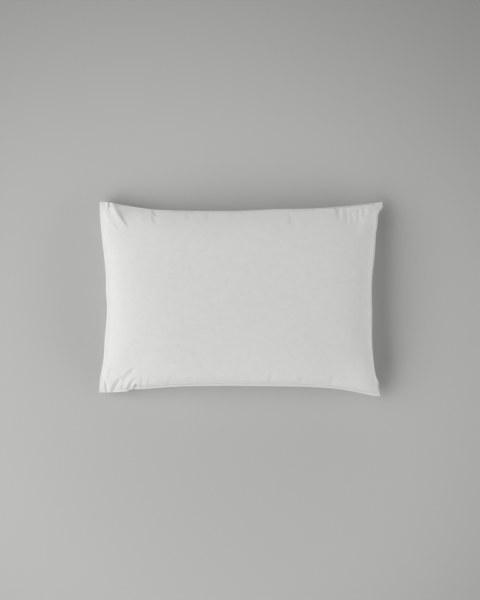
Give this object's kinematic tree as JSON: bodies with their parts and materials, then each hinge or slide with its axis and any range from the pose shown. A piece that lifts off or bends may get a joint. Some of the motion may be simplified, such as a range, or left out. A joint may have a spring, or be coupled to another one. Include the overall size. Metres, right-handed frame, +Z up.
{
  "type": "waterproof pillow protector",
  "caption": "White cotton pillow protector drawn over its pillow: broad crown, flat underside, sides drawn in between the corners, a narrow sewn lip and creased, loose corners.",
  "frame": {"origin": "on the surface the pillow lies on, under the middle of its overall length and width", "axes": "+X along the length, +Y from the front long seam to the back long seam, +Z up through the crown"},
  "size_m": [0.734, 0.506, 0.1413],
  "materials": {
    "cotton_cloth": "matt white brushed cotton"
  },
  "bodies": {
    "root": {"pillow_protector": "cotton_cloth"}
  },
  "joints": []
}
